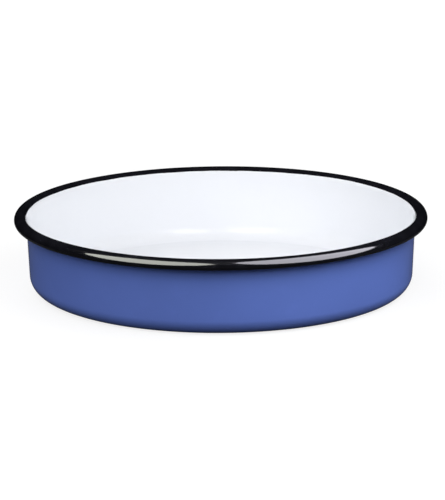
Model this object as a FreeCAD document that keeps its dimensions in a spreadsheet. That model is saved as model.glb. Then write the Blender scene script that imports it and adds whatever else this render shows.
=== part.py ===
# Round baking pan pressed from one sheet of enamelled steel, with a rolled rim.
# Millimetres, +Z up. The origin is the centre of the base, on the plane that the pan stands on.
import FreeCAD, Part
import os
from math import cos, degrees, atan2, radians, sin, tan

import Sketcher

# Driving dimensions: name, value, what it measures.
SIZES = [
    ("rim_diameter", 320.0, "outside width over the rolled rim"),
    ("pan_height", 60.0, "standing plane to the crest of the rim"),
    ("sheet_thickness", 1.0, "steel with the enamel on both its faces"),
    ("wall_draft", 2.3, "degrees that the wall leans outwards"),
    ("corner_radius", 12.0, "outside radius between the wall and the base"),
    ("flare_radius", 5.4, "face of the sheet where the wall turns over to the crest"),
    ("crest_radius", 5.0, "face of the sheet from the crest to the side of the rim"),
    ("crest_angle", 85.0, "degrees that the sheet turns round the crest radius"),
    ("under_radius", 3.5, "tighter bend of the rim's lower outer edge"),
    ("under_angle", 80.0, "degrees that the sheet turns round the under radius"),
    ("return_radius", 5.2, "face of the sheet on its way back to the wall, under the rim"),
    ("return_angle", 75.0, "degrees that the sheet turns round the return radius"),
    ("foot_width", 8.0, "flat ring that the pan stands on"),
    ("base_crown", 0.8, "rise of the base from the foot ring to its centre"),
]

# Curves of the section, in order round the sheet. The back is the outside of the pan
# as far as the crest, and the face is its inside.
CURVES = ["axis", "crown_back", "foot_back", "corner_back", "wall_back", "flare_back",
          "crest_back", "under_back", "return_back", "edge", "return_face", "under_face", "crest_face",
          "flare_face", "wall_face", "corner_face", "foot_face", "crown_face"]

# Points of a curve, and the sketch's own axes.
START, END, CENTRE = 1, 2, 3
HORIZONTAL_AXIS, VERTICAL_AXIS = -1, -2

# Ends that meet at a corner, and ends that run smoothly into each other.
CORNERS = [
    ("axis", START, "crown_back", END),
    ("crown_back", START, "foot_back", START),
    ("foot_face", START, "crown_face", START),
    ("crown_face", END, "axis", END),
]
SMOOTH_JOINTS = [
    ("foot_back", END, "corner_back", START),
    ("corner_back", END, "wall_back", START),
    ("wall_back", END, "flare_back", END),
    ("flare_back", START, "crest_back", END),
    ("crest_back", START, "under_back", END),
    ("under_back", START, "return_back", END),
    ("return_back", START, "edge", START),
    ("edge", END, "return_face", START),
    ("return_face", END, "under_face", START),
    ("under_face", END, "crest_face", START),
    ("crest_face", END, "flare_face", START),
    ("flare_face", END, "wall_face", END),
    ("wall_face", START, "corner_face", END),
    ("corner_face", START, "foot_face", END),
]
CONCENTRIC = [
    ("corner_back", "corner_face"),
    ("flare_back", "flare_face"),
    ("crest_back", "crest_face"),
    ("under_back", "under_face"),
    ("return_back", "return_face"),
]


def add_sheet(doc):
    """Spreadsheet of the driving dimensions, with an alias on each value."""
    sheet = doc.addObject("Spreadsheet::Sheet", "Sizes")
    for row, (name, value, meaning) in enumerate(SIZES, start=1):
        sheet.set(f"A{row}", name)
        sheet.set(f"B{row}", str(value))
        sheet.set(f"C{row}", meaning)
        sheet.setAlias(f"B{row}", name)
    doc.recompute()
    return sheet


def origin_feature(body, role):
    """Origin plane or axis of a body, found by its role."""
    return next(feature for feature in body.Origin.OriginFeatures if feature.Role == role)


def point_at(centre, radius, angle):
    """Point on a circle, with the angle in degrees."""
    turn = radians(angle)
    return centre + FreeCAD.Vector(radius * cos(turn), radius * sin(turn), 0)


def arc(centre, radius, start, end):
    """Arc that runs counter-clockwise between two angles in degrees."""
    circle = Part.Circle(centre, FreeCAD.Vector(0, 0, 1), radius)
    return Part.ArcOfCircle(circle, radians(start), radians(end))


def section_curves(sheet):
    """The section's curves at their true places, in the order of CURVES."""
    thick = sheet.sheet_thickness
    draft = sheet.wall_draft
    crest_end = 90 - sheet.crest_angle
    under_end = crest_end - sheet.under_angle
    roll_end = under_end - sheet.return_angle
    tightening = sheet.crest_radius - sheet.under_radius
    under_x = sheet.rim_diameter / 2 - sheet.under_radius
    crest_x = under_x - tightening * cos(radians(crest_end))
    crest = FreeCAD.Vector(crest_x, sheet.pan_height - sheet.crest_radius, 0)
    under = point_at(crest, tightening, crest_end)
    back_to_wall = point_at(under, sheet.under_radius - sheet.return_radius, under_end)
    edge = point_at(back_to_wall, sheet.return_radius - thick / 2, roll_end)

    flare = FreeCAD.Vector(crest_x, sheet.pan_height - sheet.flare_radius, 0)
    flare_back = sheet.flare_radius - thick
    lean = (flare.y - sheet.corner_radius) * tan(radians(draft))
    corner_x = crest_x - lean - (flare_back + sheet.corner_radius) / cos(radians(draft))
    corner = FreeCAD.Vector(corner_x, sheet.corner_radius, 0)
    corner_face = sheet.corner_radius - thick

    foot_x = corner_x - sheet.foot_width
    crown = sheet.base_crown
    crown_radius = (foot_x ** 2 + crown ** 2) / (2 * crown)
    crown_back = FreeCAD.Vector(0, crown - crown_radius, 0)
    crown_face = crown_back + FreeCAD.Vector(0, thick, 0)
    crown_start = degrees(atan2(crown_radius - crown, foot_x))
    curves = {
        "axis": Part.LineSegment(FreeCAD.Vector(0, crown, 0), FreeCAD.Vector(0, crown + thick, 0)),
        "crown_back": arc(crown_back, crown_radius, crown_start, 90),
        "foot_back": Part.LineSegment(FreeCAD.Vector(foot_x, 0, 0), FreeCAD.Vector(corner_x, 0, 0)),
        "corner_back": arc(corner, sheet.corner_radius, -90, -draft),
        "wall_back": Part.LineSegment(point_at(corner, sheet.corner_radius, -draft),
                                      point_at(flare, flare_back, 180 - draft)),
        "flare_back": arc(flare, flare_back, 90, 180 - draft),
        "crest_back": arc(crest, sheet.crest_radius - thick, crest_end, 90),
        "under_back": arc(under, sheet.under_radius - thick, under_end, crest_end),
        "return_back": arc(back_to_wall, sheet.return_radius - thick, roll_end, under_end),
        "edge": arc(edge, thick / 2, roll_end - 180, roll_end),
        "return_face": arc(back_to_wall, sheet.return_radius, roll_end, under_end),
        "under_face": arc(under, sheet.under_radius, under_end, crest_end),
        "crest_face": arc(crest, sheet.crest_radius, crest_end, 90),
        "flare_face": arc(flare, sheet.flare_radius, 90, 180 - draft),
        "wall_face": Part.LineSegment(point_at(corner, corner_face, -draft),
                                      point_at(flare, sheet.flare_radius, 180 - draft)),
        "corner_face": arc(corner, corner_face, -90, -draft),
        "foot_face": Part.LineSegment(FreeCAD.Vector(foot_x, thick, 0),
                                      FreeCAD.Vector(corner_x, thick, 0)),
        "crown_face": arc(crown_face, crown_radius, crown_start, 90),
    }
    return [curves[name] for name in CURVES]


def join_curves(sketch, index):
    """Close the section and hold its round parts concentric and square to the axis."""
    for first, first_end, second, second_end in CORNERS:
        sketch.addConstraint(Sketcher.Constraint(
            "Coincident", index[first], first_end, index[second], second_end))
    for first, first_end, second, second_end in SMOOTH_JOINTS:
        sketch.addConstraint(Sketcher.Constraint(
            "Tangent", index[first], first_end, index[second], second_end))
    for back, face in CONCENTRIC:
        sketch.addConstraint(Sketcher.Constraint(
            "Coincident", index[back], CENTRE, index[face], CENTRE))
    for curve, point, line in [
        ("axis", START, VERTICAL_AXIS),
        ("axis", END, VERTICAL_AXIS),
        ("crown_back", CENTRE, VERTICAL_AXIS),
        ("crown_face", CENTRE, VERTICAL_AXIS),
        ("foot_back", START, HORIZONTAL_AXIS),
        ("foot_back", END, HORIZONTAL_AXIS),
    ]:
        sketch.addConstraint(Sketcher.Constraint("PointOnObject", index[curve], point, line))
    sketch.addConstraint(Sketcher.Constraint("Horizontal", index["foot_face"]))
    for first, second, point in [("flare_back", "crest_back", CENTRE), ("foot_back", "foot_face", START)]:
        sketch.addConstraint(Sketcher.Constraint(
            "Vertical", index[first], point, index[second], point))


def bind(sketch, name, expression, *constraint):
    """Add a dimension and tie it to the spreadsheet."""
    number = sketch.addConstraint(Sketcher.Constraint(*constraint))
    sketch.renameConstraint(number, name)
    sketch.setExpression(f"Constraints.{name}", expression)


def size_curves(sketch, index, sheet):
    """Dimension the section from the spreadsheet."""
    thick = sheet.sheet_thickness
    origin = (HORIZONTAL_AXIS, START)
    bind(sketch, "flare_face_radius", "Sizes.flare_radius",
         "Radius", index["flare_face"], sheet.flare_radius)
    bind(sketch, "flare_back_radius", "Sizes.flare_radius - Sizes.sheet_thickness",
         "Radius", index["flare_back"], sheet.flare_radius - thick)
    for name in ["crest", "under", "return"]:
        bind(sketch, f"{name}_face_radius", f"Sizes.{name}_radius",
             "Radius", index[f"{name}_face"], sheet.get(f"{name}_radius"))
        bind(sketch, f"{name}_sweep", f"Sizes.{name}_angle * 1 deg",
             "Angle", index[f"{name}_face"], radians(sheet.get(f"{name}_angle")))
    bind(sketch, "corner_back_radius", "Sizes.corner_radius",
         "Radius", index["corner_back"], sheet.corner_radius)
    bind(sketch, "corner_face_radius", "Sizes.corner_radius - Sizes.sheet_thickness",
         "Radius", index["corner_face"], sheet.corner_radius - thick)
    bind(sketch, "wall_slope", "(90 - Sizes.wall_draft) * 1 deg",
         "Angle", index["wall_back"], radians(90 - sheet.wall_draft))
    bind(sketch, "rim_side", "Sizes.rim_diameter / 2 - Sizes.under_radius",
         "DistanceX", *origin, index["under_face"], CENTRE, sheet.rim_diameter / 2 - sheet.under_radius)
    bind(sketch, "crest_height", "Sizes.pan_height",
         "DistanceY", *origin, index["crest_face"], END, sheet.pan_height)
    bind(sketch, "foot_ring", "Sizes.foot_width",
         "DistanceX", index["foot_back"], START, index["foot_back"], END, sheet.foot_width)
    bind(sketch, "crown_rise", "Sizes.base_crown",
         "DistanceY", *origin, index["axis"], START, sheet.base_crown)
    bind(sketch, "base_thickness", "Sizes.sheet_thickness",
         "DistanceY", index["axis"], START, index["axis"], END, thick)


def add_pan(doc, sheet):
    """The whole pan: one closed section of the sheet, turned about the upright axis."""
    body = doc.addObject("PartDesign::Body", "Pan")
    body.Label = "pan"
    sketch = body.newObject("Sketcher::SketchObject", "SheetSection")
    sketch.AttachmentSupport = [(origin_feature(body, "XZ_Plane"), "")]
    sketch.MapMode = "FlatFace"
    sketch.addGeometry(section_curves(sheet), False)
    index = {name: number for number, name in enumerate(CURVES)}
    join_curves(sketch, index)
    size_curves(sketch, index, sheet)
    doc.recompute()

    turned = body.newObject("PartDesign::Revolution", "TurnedSheet")
    turned.Profile = sketch
    turned.ReferenceAxis = (origin_feature(body, "Z_Axis"), [""])
    turned.Angle = 360.0
    sketch.Visibility = False
    body.Placement = FreeCAD.Placement()
    doc.recompute()
    return body


def check_document(doc, parts):
    """Stop on a failed object, or on a sub-part that isn't one valid solid."""
    for item in doc.Objects:
        if "Invalid" in item.State or "Error" in item.State:
            raise RuntimeError(f"{item.Name} failed: {item.State}")
    for part in parts:
        shape = part.Shape
        if shape.isNull() or not shape.isValid() or len(shape.Solids) != 1:
            raise RuntimeError(f"{part.Label} isn't one valid solid")


def main():
    os.makedirs("parts", exist_ok=True)
    doc = FreeCAD.newDocument("BakingPan")
    sheet = add_sheet(doc)
    parts = [add_pan(doc, sheet)]
    check_document(doc, parts)
    for part in parts:
        part.Shape.exportStep(f"parts/{part.Label}.step")
        print(part.Label, "volume", round(part.Shape.Volume, 1), "mm3", part.Shape.BoundBox)


main()
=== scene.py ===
"""Looks of the round enamelled baking pan: its fired enamels, the floor, the lights and the camera."""
from math import ceil, cos, pi, radians, sin, tan

import bpy
from mathutils import Matrix, Vector, noise


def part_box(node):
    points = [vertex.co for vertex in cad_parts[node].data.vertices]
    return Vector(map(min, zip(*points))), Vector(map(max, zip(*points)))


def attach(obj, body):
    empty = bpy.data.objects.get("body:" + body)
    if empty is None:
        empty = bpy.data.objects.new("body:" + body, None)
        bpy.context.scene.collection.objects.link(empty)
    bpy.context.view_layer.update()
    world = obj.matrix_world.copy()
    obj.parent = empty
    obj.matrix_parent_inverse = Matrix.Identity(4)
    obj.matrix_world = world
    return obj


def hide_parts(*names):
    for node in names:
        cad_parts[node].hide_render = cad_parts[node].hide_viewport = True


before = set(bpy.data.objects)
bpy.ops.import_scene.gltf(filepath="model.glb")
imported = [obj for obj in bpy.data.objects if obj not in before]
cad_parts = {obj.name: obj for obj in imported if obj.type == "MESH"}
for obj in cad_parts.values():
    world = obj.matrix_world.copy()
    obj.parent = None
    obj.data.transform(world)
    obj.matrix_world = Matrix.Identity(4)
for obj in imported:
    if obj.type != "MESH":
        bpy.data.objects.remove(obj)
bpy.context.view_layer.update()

# Section of the sheet, in metres and degrees, as the solid has it.
pan_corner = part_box("pan")[1]
RIM_RADIUS = pan_corner.x
PAN_HEIGHT = pan_corner.z
SHEET = 0.001
WALL_DRAFT = 2.3
CORNER_RADIUS = 0.012
FLARE_RADIUS = 0.0054
CREST_RADIUS = 0.005
CREST_ANGLE = 85
UNDER_RADIUS = 0.0035
UNDER_ANGLE = 80
RETURN_RADIUS = 0.0052
RETURN_ANGLE = 75
FOOT_WIDTH = 0.008
BASE_CROWN = 0.0008

# Mesh spacing: steps round the pan, and the longest step on an arc (degrees) and on a line (metres).
TURNS = 320
ARC_STEP = 7
LINE_STEP = 0.004

# The black enamel: where it ends past the crest (degrees) and on the wall under the rim (metres).
BLACK_INSIDE = 60
BLACK_OUTSIDE = 0.053

# How its border strays (metres): slow and quick bends, each by its noise scale and share. Each side of the
# pan reads the noise at a place of its own.
BORDER_WANDER = 0.0004
SLOW_SCALE = 2.2
SLOW_SHARE = 1.4
QUICK_SCALE = 9
QUICK_SHARE = 0.5
QUICK_PLACE = 5
OUTER_PLACE = 0
INNER_PLACE = 20

# Slow waves in the fired coat (metres), always into the sheet, so the pan keeps its size.
RIPPLE = 0.00006
RIPPLE_LENGTH = 0.03

# Enamel colours, linear, and how dark and pale their patterns make them.
BLUE = (0.132, 0.212, 0.640)
WHITE = (0.865, 0.88, 0.915)
BLACK = (0.0058, 0.0058, 0.0080)
BLUE_DARK = 0.95
BLUE_PALE = 1.05
WHITE_DARK = 0.985
WHITE_PALE = 1.0
BLACK_DARK = 1.0
BLACK_PALE = 1.5

# Haze and specks: times the blue, and the colour of the specks in the white.
HAZE = 1.5
BLUE_SPECK = 0.45
WHITE_SPECK = (0.45, 0.45, 0.46)

# Noise scales of the enamel's patterns, in waves to a metre.
CLOUD_SCALE = 9
MOTTLE_SCALE = 70
PEEL_SCALE = 170
RAGGED_SCALE = 420
GRAIN_SCALE = 1500

# Ramps over those patterns, which run from 0 to 1: start and end, and what they give there.
CLOUD_RAMP = (0.3, 0.7, 0, 1)
HAZE_RAMP = (0.52, 0.75, 0, 0.05)
BLUE_SPECK_RAMP = (0.68, 0.76, 0, 0.35)
WHITE_SPECK_RAMP = (0.70, 0.78, 0, 0.25)
BLACK_RAMP = (0.4, 0.7, 0, 1)
ROUGHNESS_RAMP = (0.3, 0.7, 0.07, 0.11)

# Ramps over the depth in the black (metres): how far it covers, and how thick its coat stands (metres).
COVER_RAMP = (-0.00012, 0.00012, 0, 1)
COAT_RAMP = (-0.0003, 0.0003, 0, 0.00004)

# Raggedness of the black's border and height of the orange peel, in metres.
RAGGED_REACH = 0.0004
PEEL_HEIGHT = 0.00003

# Gloss of the enamel.
ENAMEL_IOR = 1.5
SPECULAR = 0.15

# Bright panels that the gloss mirrors: name, azimuth from the front towards the right, elevation, distance,
# width, height, and colour times strength, in degrees and metres.
PANELS = [
    ("panel_left", -45, 33, 3.0, 3.9, 3.6, (33.0, 33.5, 30.5)),
    ("panel_right", 52, 35, 0.6, 0.80, 0.86, (30.5, 30.0, 33.0)),
]
PANEL_SIDES = 64

# Soft lamps for the surfaces' own colours, in the same way: name, azimuth, elevation, distance, width and
# radiance.
LAMPS = [
    ("lamp_left", -58, 35, 3.0, 3.0, 1.88),
    ("lamp_front", 0, 35, 3.0, 3.0, 1.50),
    ("lamp_right", 100, 30, 3.0, 3.0, 1.50),
    ("lamp_back", -150, 38, 3.0, 3.0, 2.10),
    ("lamp_near", 40, 35, 0.6, 0.5, 2.85),
]

# Height of the point that the panels and lamps face, in metres.
LIT_HEIGHT = 0.05

# Soft light on the surfaces from all round.
FILL = 0.02

# The floor: what it sends back on the pan, what the camera sees of it, lit and in shadow, and between which
# distances from the pan it turns plain white (metres).
FLOOR_BOUNCE = 0.05
FLOOR_COLOUR = 0.25
FLOOR_LIFT = 0.80
BACKDROP_START = 0.4
BACKDROP_END = 1.6
FLOOR_HALF = 6.0
FLOOR_DROP = 0.0002

# The cards that keep the bright panels off the rim's sides and back, and in part off the white inside: the
# azimuth where they change over, their radii, heights and gap over the rim, and what the front one lets by.
FLAG_AZIMUTH = 58
FLAG_INNER = 0.125
FLAG_OUTER = 0.19
FLAG_FOOT = 0.04
FLAG_TOP = 1.2
FLAG_GAP = 0.0005
FLAG_PASSES = 0.3
FLAG_BACK_STEPS = 60
FLAG_FRONT_STEPS = 30

# How white the surroundings are in the enamel's gloss: dark low down and paler overhead, and how steep a
# reflection is where that starts and ends (0 level, 1 straight up).
MIRRORED_LOW = 0.025
MIRRORED_HIGH = 0.5
PALER_START = 0.25
PALER_END = 0.95

# Camera fitted to the photograph: degrees, metres and pixels of a frame 445 wide and 500 high.
CAMERA_ELEVATION = 14.22
CAMERA_ROLL = -0.38
CAMERA_DISTANCE = 2.1137
CAMERA_REACH = 50
FOCAL_PIXELS = 2716.8
FRAME_HEIGHT = 500
SENSOR_WIDTH = 36
AIM = Vector((0.00118, 0, 0.02758))


def at(centre, radius, angle):
    """Point of a circle in the plane of the section, with the angle in degrees."""
    return centre + Vector((radius * cos(radians(angle)), radius * sin(radians(angle))))


def arc_points(centre, radius, start, end):
    """Points of an arc after its start, as far as its end."""
    steps = max(2, ceil(abs(end - start) / ARC_STEP))
    return [at(centre, radius, start + (end - start) * k / steps) for k in range(1, steps + 1)]


def line_points(start, end):
    """Points of a straight stretch after its start, as far as its end."""
    steps = max(1, ceil((end - start).length / LINE_STEP))
    return [start.lerp(end, k / steps) for k in range(1, steps + 1)]


def crown_points(start, end):
    """Shallow dome between the foot ring and the centre of the base, in either direction."""
    foot, top = (start, end) if start.x > end.x else (end, start)
    steps = ceil(foot.x / LINE_STEP)
    points = []
    for k in range(1, steps + 1):
        x = start.x + (end.x - start.x) * k / steps
        points.append(Vector((x, top.y + (foot.y - top.y) * (x / foot.x) ** 2)))
    return points


def section():
    """The closed section, from the centre of the underside over the rim to the centre of the inside.

    Returns its points, and the places in them of the outer black border, the crest and the inner border.
    """
    crest_end = 90 - CREST_ANGLE
    under_end = crest_end - UNDER_ANGLE
    roll_end = under_end - RETURN_ANGLE
    tightening = CREST_RADIUS - UNDER_RADIUS
    crest_x = RIM_RADIUS - UNDER_RADIUS - tightening * cos(radians(crest_end))
    crest = Vector((crest_x, PAN_HEIGHT - CREST_RADIUS))
    under = at(crest, tightening, crest_end)
    back_in = at(under, UNDER_RADIUS - RETURN_RADIUS, under_end)
    edge = at(back_in, RETURN_RADIUS - SHEET / 2, roll_end)
    flare = Vector((crest_x, PAN_HEIGHT - FLARE_RADIUS))
    flare_back = FLARE_RADIUS - SHEET
    wall_side = 180 - WALL_DRAFT
    lean = (flare.y - CORNER_RADIUS) * tan(radians(WALL_DRAFT))
    corner_x = crest_x - lean - (flare_back + CORNER_RADIUS) / cos(radians(WALL_DRAFT))
    corner = Vector((corner_x, CORNER_RADIUS))
    underside = Vector((0, BASE_CROWN))
    foot_back = Vector((corner_x - FOOT_WIDTH, 0))
    up = Vector((0, SHEET))

    points = [underside]
    points += crown_points(underside, foot_back)
    points += line_points(foot_back, Vector((corner_x, 0)))
    points += arc_points(corner, CORNER_RADIUS, -90, -WALL_DRAFT)
    wall_foot = points[-1]
    wall_top = at(flare, flare_back, wall_side)
    share = (BLACK_OUTSIDE - wall_foot.y) / (wall_top.y - wall_foot.y)
    points += line_points(wall_foot, wall_foot.lerp(wall_top, share))
    outer_border = len(points) - 1
    points += line_points(points[-1], wall_top)
    points += arc_points(flare, flare_back, wall_side, 90)
    points += arc_points(crest, CREST_RADIUS - SHEET, 90, crest_end)
    points += arc_points(under, UNDER_RADIUS - SHEET, crest_end, under_end)
    points += arc_points(back_in, RETURN_RADIUS - SHEET, under_end, roll_end)
    points += arc_points(edge, SHEET / 2, roll_end + 180, roll_end + 360)
    points += arc_points(back_in, RETURN_RADIUS, roll_end, under_end)
    points += arc_points(under, UNDER_RADIUS, under_end, crest_end)
    points += arc_points(crest, CREST_RADIUS, crest_end, 90)
    top = len(points) - 1
    points += arc_points(flare, FLARE_RADIUS, 90, 90 + BLACK_INSIDE)
    inner_border = len(points) - 1
    points += arc_points(flare, FLARE_RADIUS, 90 + BLACK_INSIDE, wall_side)
    points += line_points(points[-1], at(corner, CORNER_RADIUS - SHEET, -WALL_DRAFT))
    points += arc_points(corner, CORNER_RADIUS - SHEET, -WALL_DRAFT, -90)
    points += line_points(points[-1], foot_back + up)
    points += crown_points(foot_back + up, underside + up)
    return points, outer_border, top, inner_border


def wander(around, place):
    """How far the black's border strays in this direction round the pan, in metres."""
    slow = noise.noise(around * SLOW_SCALE + Vector((0, 0, place)))
    quick = noise.noise(around * QUICK_SCALE + Vector((0, 0, place + QUICK_PLACE)))
    return BORDER_WANDER * (SLOW_SHARE * slow + QUICK_SHARE * quick)


def pan_vertices():
    """The section turned round the pan's axis: one vertex at each of its two ends, and rings between them.

    Returns the vertices, how deep each lies in the black (metres), and 1 for each on the white side.
    """
    points, outer_border, top, inner_border = section()
    last = len(points) - 1
    along = [0.0]
    for k in range(last):
        along.append(along[-1] + (points[k + 1] - points[k]).length)

    vertices = []
    black = []
    white = []
    for k, point in enumerate(points):
        tangent = (points[min(k + 1, last)] - points[max(k - 1, 0)]).normalized()
        for j in range(1 if k in (0, last) else TURNS):
            angle = 2 * pi * j / TURNS
            around = Vector((cos(angle), sin(angle), 0))
            spot = around * point.x + Vector((0, 0, point.y))
            outward = around * tangent.y + Vector((0, 0, -tangent.x))
            depth = 0.5 + 0.5 * noise.noise(spot / RIPPLE_LENGTH)
            vertices.append(spot - outward * RIPPLE * min(1, max(0, depth)))
            outer = along[k] - along[outer_border] + wander(around, OUTER_PLACE)
            inner = along[inner_border] - along[k] + wander(around, INNER_PLACE)
            black.append(min(outer, inner))
            white.append(1.0 if k > top else 0.0)
    return vertices, black, white


def pan_faces(last):
    """Faces between the rings, with a fan round the first vertex and one round the last."""
    rings = last // TURNS
    faces = []
    for j in range(TURNS):
        beside = (j + 1) % TURNS
        faces.append((0, 1 + beside, 1 + j))
        for k in range(rings - 1):
            low = 1 + k * TURNS
            high = low + TURNS
            faces.append((low + j, low + beside, high + beside, high + j))
        low = 1 + (rings - 1) * TURNS
        faces.append((low + j, low + beside, last))
    return faces


def add_mesh(name, vertices, faces, material):
    """Mesh object with one material."""
    mesh = bpy.data.meshes.new(name)
    mesh.from_pydata(vertices, [], faces)
    mesh.materials.append(material)
    piece = bpy.data.objects.new(name, mesh)
    bpy.context.collection.objects.link(piece)
    return piece


def add_pan():
    """The pan as one closed mesh of revolution, with where its enamels lie written on its points."""
    vertices, black, white = pan_vertices()
    pan = add_mesh("enamelled_pan", vertices, pan_faces(len(vertices) - 1), enamel())
    pan.data.shade_smooth()
    for name, values in (("black", black), ("white", white)):
        pan.data.attributes.new(name, "FLOAT", "POINT").data.foreach_set("value", values)
    pan.data.update()
    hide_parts("pan")
    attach(pan, "root")


class Nodes:
    """Short ways to add and join nodes in one material or world."""

    def __init__(self, owner):
        owner.use_nodes = True
        self.tree = owner.node_tree
        self.tree.nodes.clear()

    def add(self, kind, settings=None, **sockets):
        """New node, with its settings, and a value or link for each socket that is named."""
        node = self.tree.nodes.new(kind)
        for name, value in (settings or {}).items():
            setattr(node, name, value)
        for name, value in sockets.items():
            self.give(node.inputs[name.replace("_", " ")], value)
        return node

    def give(self, socket, value):
        """Links the socket to another node's, or sets its own value."""
        if isinstance(value, bpy.types.NodeSocket):
            self.tree.links.new(value, socket)
        else:
            socket.default_value = value

    def maths(self, operation, first, second, clamp=False):
        node = self.add("ShaderNodeMath", {"operation": operation, "use_clamp": clamp})
        self.give(node.inputs[0], first)
        self.give(node.inputs[1], second)
        return node.outputs[0]

    def mix(self, share, first, second, kind="RGBA"):
        """Mix of two colours, or of two numbers if the kind is FLOAT."""
        node = self.add("ShaderNodeMix", {"data_type": kind}, Factor=share, A=first, B=second)
        return node.outputs["Result"]

    def ramp(self, value, start, end, low, high):
        """Smooth rise from low to high as the value goes from start to end."""
        node = self.add("ShaderNodeMapRange", {"interpolation_type": "SMOOTHSTEP"}, Value=value)
        for name, number in (("From Min", start), ("From Max", end), ("To Min", low), ("To Max", high)):
            node.inputs[name].default_value = number
        return node.outputs["Result"]

    def noise(self, place, scale, detail):
        return self.add("ShaderNodeTexNoise", Vector=place, Scale=scale, Detail=detail).outputs["Fac"]

    def attribute(self, name):
        """Number written on the points of the mesh."""
        node = self.add("ShaderNodeAttribute", {"attribute_type": "GEOMETRY", "attribute_name": name})
        return node.outputs["Fac"]

    def rays(self):
        """Whether a ray sees the surface straight, also through glass, and whether it is a reflection."""
        path = self.add("ShaderNodeLightPath").outputs
        straight = self.maths("ADD", path["Is Camera Ray"], path["Is Transmission Ray"], clamp=True)
        return straight, path["Is Glossy Ray"]


def rgba(colour, level=1.0):
    return tuple(level * part for part in colour) + (1.0,)


def grey(level):
    return (level, level, level, 1.0)


def enamel():
    """Glossy fired enamel in its three colours, with the small unevenness of a dipped coat."""
    material = bpy.data.materials.new("vitreous_enamel")
    nodes = Nodes(material)
    place = nodes.add("ShaderNodeTexCoord").outputs["Object"]

    cloud = nodes.ramp(nodes.noise(place, CLOUD_SCALE, detail=2), *CLOUD_RAMP)
    mottle = nodes.noise(place, MOTTLE_SCALE, detail=3)
    grain = nodes.noise(place, GRAIN_SCALE, detail=2)
    blue = nodes.mix(cloud, rgba(BLUE, BLUE_DARK), rgba(BLUE, BLUE_PALE))
    blue = nodes.mix(nodes.ramp(mottle, *HAZE_RAMP), blue, rgba(BLUE, HAZE))
    blue = nodes.mix(nodes.ramp(grain, *BLUE_SPECK_RAMP), blue, rgba(BLUE, BLUE_SPECK))
    white = nodes.mix(cloud, rgba(WHITE, WHITE_DARK), rgba(WHITE, WHITE_PALE))
    white = nodes.mix(nodes.ramp(grain, *WHITE_SPECK_RAMP), white, rgba(WHITE_SPECK))
    black = nodes.mix(nodes.ramp(mottle, *BLACK_RAMP), rgba(BLACK, BLACK_DARK), rgba(BLACK, BLACK_PALE))

    # The border of the black is crisp but not cut with a knife.
    ragged = nodes.maths("SUBTRACT", nodes.noise(place, RAGGED_SCALE, detail=3), 0.5)
    depth = nodes.maths("ADD", nodes.attribute("black"), nodes.maths("MULTIPLY", ragged, RAGGED_REACH))
    covered = nodes.ramp(depth, *COVER_RAMP)
    colour = nodes.mix(covered, nodes.mix(nodes.attribute("white"), blue, white), black)

    roughness = nodes.ramp(mottle, *ROUGHNESS_RAMP)
    peel = nodes.maths("MULTIPLY", nodes.noise(place, PEEL_SCALE, detail=2), PEEL_HEIGHT)
    height = nodes.maths("ADD", peel, nodes.ramp(depth, *COAT_RAMP))
    bump = nodes.add("ShaderNodeBump", Strength=1.0, Distance=1.0, Height=height)
    shader = nodes.add("ShaderNodeBsdfPrincipled", Base_Color=colour, Roughness=roughness, IOR=ENAMEL_IOR)
    shader.inputs["Specular IOR Level"].default_value = SPECULAR
    nodes.give(shader.inputs["Normal"], bump.outputs["Normal"])
    nodes.add("ShaderNodeOutputMaterial", Surface=shader.outputs["BSDF"])
    return material


def add_floor():
    """White floor that keeps the pan's shadow near it, and is plain white further out."""
    material = bpy.data.materials.new("white_floor")
    nodes = Nodes(material)
    straight, reflected = nodes.rays()
    mirrored = nodes.maths("MULTIPLY", reflected, MIRRORED_LOW)
    seen = nodes.maths("ADD", straight, mirrored, clamp=True)
    colour = nodes.mix(seen, grey(FLOOR_BOUNCE), grey(FLOOR_COLOUR))
    base = nodes.add("ShaderNodeBsdfDiffuse", Color=colour)
    place = nodes.add("ShaderNodeNewGeometry").outputs["Position"]
    away = nodes.add("ShaderNodeVectorMath", {"operation": "LENGTH"}, Vector=place).outputs["Value"]
    strength = nodes.maths("MULTIPLY", seen, nodes.ramp(away, BACKDROP_START, BACKDROP_END, FLOOR_LIFT, 1))
    lift = nodes.add("ShaderNodeEmission", Color=grey(1), Strength=strength)
    both = nodes.add("ShaderNodeAddShader")
    nodes.give(both.inputs[0], base.outputs[0])
    nodes.give(both.inputs[1], lift.outputs[0])
    nodes.add("ShaderNodeOutputMaterial", Surface=both.outputs[0])
    material.cycles.emission_sampling = "NONE"

    half = FLOOR_HALF
    corners = [(-half, -half, 0), (half, -half, 0), (half, half, 0), (-half, half, 0)]
    floor = add_mesh("floor", corners, [(0, 1, 2, 3)], material)
    floor.location.z = -FLOOR_DROP


def add_world():
    """Even light all round; the camera sees white, and the gloss a dark room that is paler overhead."""
    world = bpy.data.worlds.new("studio")
    nodes = Nodes(world)
    straight, reflected = nodes.rays()
    way = nodes.add("ShaderNodeTexCoord").outputs["Generated"]
    height = nodes.add("ShaderNodeSeparateXYZ", Vector=way).outputs["Z"]
    room = nodes.ramp(height, PALER_START, PALER_END, MIRRORED_LOW, MIRRORED_HIGH)
    level = nodes.mix(reflected, FILL, room, "FLOAT")
    level = nodes.mix(straight, level, 1.0, "FLOAT")
    sky = nodes.add("ShaderNodeBackground", Color=grey(1), Strength=level)
    nodes.add("ShaderNodeOutputWorld", Surface=sky.outputs[0])
    bpy.context.scene.world = world


def beside_pan(radius, azimuth, z):
    """Point at this azimuth round the pan, from the front towards the right."""
    return Vector((radius * sin(radians(azimuth)), -radius * cos(radians(azimuth)), z))


def face_pan(thing, azimuth, elevation, distance):
    """Puts a lamp or panel in this direction from the pan, turned towards it."""
    way = beside_pan(cos(radians(elevation)), azimuth, sin(radians(elevation)))
    thing.location = way * distance + Vector((0, 0, LIT_HEIGHT))
    thing.rotation_euler = way.to_track_quat("Z", "Y").to_euler()


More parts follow.
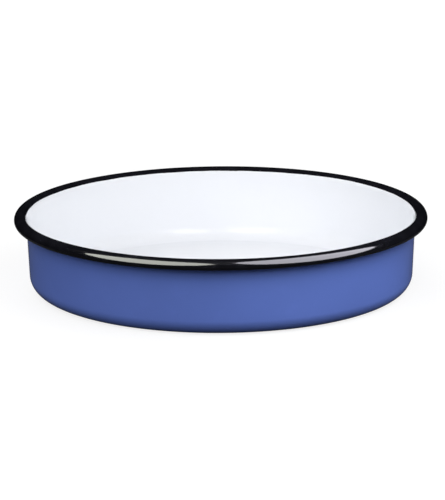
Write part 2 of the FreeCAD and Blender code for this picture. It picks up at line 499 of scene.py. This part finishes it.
def show_to_reflections(thing):
    """Hides a piece from all but reflections."""
    thing.visible_camera = False
    thing.visible_diffuse = False
    thing.visible_shadow = False


def add_lamp(name, azimuth, elevation, distance, wide, radiance):
    """Round soft lamp for the surfaces' own colours, which the gloss doesn't mirror."""
    lamp = bpy.data.lights.new(name, "AREA")
    lamp.shape = "DISK"
    lamp.size = wide
    lamp.energy = radiance * pi * pi * wide * wide / 4
    lamp_object = bpy.data.objects.new(name, lamp)
    lamp_object.visible_camera = False
    lamp_object.visible_glossy = False
    face_pan(lamp_object, azimuth, elevation, distance)
    bpy.context.collection.objects.link(lamp_object)


def add_panel(name, azimuth, elevation, distance, wide, high, radiance):
    """Oval bright panel that only shows in the gloss, and not by way of the gloss on the white."""
    material = bpy.data.materials.new(name)
    nodes = Nodes(material)
    bounces = nodes.add("ShaderNodeLightPath").outputs["Diffuse Depth"]
    first = nodes.maths("LESS_THAN", bounces, 0.5)
    glow = nodes.add("ShaderNodeEmission", Color=rgba(radiance), Strength=first)
    nodes.add("ShaderNodeOutputMaterial", Surface=glow.outputs[0])
    material.cycles.emission_sampling = "NONE"
    turns = [2 * pi * k / PANEL_SIDES for k in range(PANEL_SIDES)]
    oval = [(wide / 2 * cos(turn), high / 2 * sin(turn), 0) for turn in turns]
    panel = add_mesh(name, oval, [tuple(range(PANEL_SIDES))], material)
    show_to_reflections(panel)
    face_pan(panel, azimuth, elevation, distance)


def add_flag(name, feet, passed):
    """Card that only reflections meet: an upright strip over these feet that lets a share of them by."""
    material = bpy.data.materials.new(name)
    nodes = Nodes(material)
    card = nodes.add("ShaderNodeBsdfTransparent", Color=grey(passed))
    nodes.add("ShaderNodeOutputMaterial", Surface=card.outputs[0])
    corners = []
    for foot in feet:
        corners += [foot, Vector((foot.x, foot.y, FLAG_TOP))]
    strips = [(2 * k, 2 * k + 2, 2 * k + 3, 2 * k + 1) for k in range(len(feet) - 1)]
    flag = add_mesh(name, corners, strips, material)
    show_to_reflections(flag)


def add_flags():
    """A black collar round the sides and back of the rim, and a grey card within its front."""
    open_way = 360 - 2 * FLAG_AZIMUTH
    back = [FLAG_AZIMUTH + open_way * k / FLAG_BACK_STEPS for k in range(FLAG_BACK_STEPS + 1)]
    front = [FLAG_AZIMUTH * (2 * k / FLAG_FRONT_STEPS - 1) for k in range(FLAG_FRONT_STEPS + 1)]
    over = PAN_HEIGHT + FLAG_GAP
    add_flag("flag_inner", [beside_pan(FLAG_INNER, turn, FLAG_FOOT) for turn in back], 0.0)
    add_flag("flag_outer", [beside_pan(FLAG_OUTER, turn, FLAG_FOOT) for turn in reversed(back)], 0.0)
    for name, turn in (("flag_right", FLAG_AZIMUTH), ("flag_left", -FLAG_AZIMUTH)):
        add_flag(name, [beside_pan(FLAG_INNER, turn, over), beside_pan(FLAG_OUTER, turn, over)], 0.0)
    add_flag("flag_front", [beside_pan(FLAG_INNER, turn, FLAG_FOOT) for turn in front], FLAG_PASSES)


def add_lights():
    """The panels for the gloss with the cards that hold them off, and the soft light on the surfaces."""
    for panel in PANELS:
        add_panel(*panel)
    add_flags()
    for lamp in LAMPS:
        add_lamp(*lamp)
    add_world()


def add_camera():
    """Camera in front of the pan, raised and rolled as the photograph's was."""
    camera = bpy.data.cameras.new("camera")
    camera.sensor_width = SENSOR_WIDTH
    camera.lens = FOCAL_PIXELS * SENSOR_WIDTH / FRAME_HEIGHT
    camera.clip_end = CAMERA_REACH
    tilt = radians(CAMERA_ELEVATION)
    roll = radians(CAMERA_ROLL)
    right = Vector((1, 0, 0))
    up = Vector((0, sin(tilt), cos(tilt)))
    back = Vector((0, -cos(tilt), sin(tilt)))
    across = right * cos(roll) + up * sin(roll)
    upward = up * cos(roll) - right * sin(roll)
    place = Matrix((across, upward, back)).transposed().to_4x4()
    place.translation = AIM + back * CAMERA_DISTANCE
    camera_object = bpy.data.objects.new("camera", camera)
    camera_object.matrix_world = place
    bpy.context.collection.objects.link(camera_object)
    bpy.context.scene.camera = camera_object


add_pan()
add_floor()
add_lights()
add_camera()
bpy.context.scene.view_settings.view_transform = "Standard"
